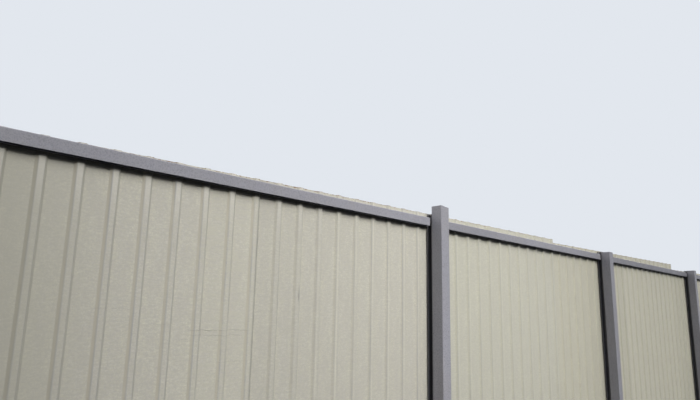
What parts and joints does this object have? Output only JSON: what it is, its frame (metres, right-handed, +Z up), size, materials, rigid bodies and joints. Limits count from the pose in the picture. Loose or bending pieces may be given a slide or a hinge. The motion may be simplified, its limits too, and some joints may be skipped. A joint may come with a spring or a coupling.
{
  "type": "steel sheet fence",
  "caption": "Straight run of steel fence in bays: square posts with flush caps, channel rails between them, and lapped ribbed steel sheets that run on behind the posts and rise above the rails",
  "frame": {"origin": "the middle of the first post's flat foot, at ground level", "axes": "+X runs along the fence from the first post to the last, +Y points from the post side to the sheet side, +Z is up"},
  "size_m": [9.94, 0.0966, 2.055],
  "materials": {
    "frame_paint": "mid grey satin paint over steel, faintly dusty, with small chips at the edges",
    "sheet_paint": "pale cream-grey factory coating on ribbed sheet, satin, with faint weathering streaks"
  },
  "bodies": {
    "root": {"post_1": "frame_paint", "post_cap_1": "frame_paint", "back_channel_left_1": "frame_paint", "back_channel_right_1": "frame_paint", "post_2": "frame_paint", "post_cap_2": "frame_paint", "back_channel_left_2": "frame_paint", "back_channel_right_2": "frame_paint", "post_3": "frame_paint", "post_cap_3": "frame_paint", "back_channel_left_3": "frame_paint", "back_channel_right_3": "frame_paint", "post_4": "frame_paint", "post_cap_4": "frame_paint", "back_channel_left_4": "frame_paint", "back_channel_right_4": "frame_paint", "post_5": "frame_paint", "post_cap_5": "frame_paint", "back_channel_left_5": "frame_paint", "back_channel_right_5": "frame_paint", "post_6": "frame_paint", "post_cap_6": "frame_paint", "back_channel_left_6": "frame_paint", "back_channel_right_6": "frame_paint", "top_rail_1": "frame_paint", "lower_rail_1": "frame_paint", "top_rail_2": "frame_paint", "lower_rail_2": "frame_paint", "top_rail_3": "frame_paint", "lower_rail_3": "frame_paint", "top_rail_4": "frame_paint", "lower_rail_4": "frame_paint", "top_rail_5": "frame_paint", "lower_rail_5": "frame_paint", "sheet_1": "sheet_paint", "sheet_2": "sheet_paint", "sheet_3": "sheet_paint", "sheet_4": "sheet_paint", "sheet_5": "sheet_paint", "sheet_6": "sheet_paint", "sheet_7": "sheet_paint", "sheet_8": "sheet_paint", "sheet_9": "sheet_paint"}
  },
  "joints": []
}
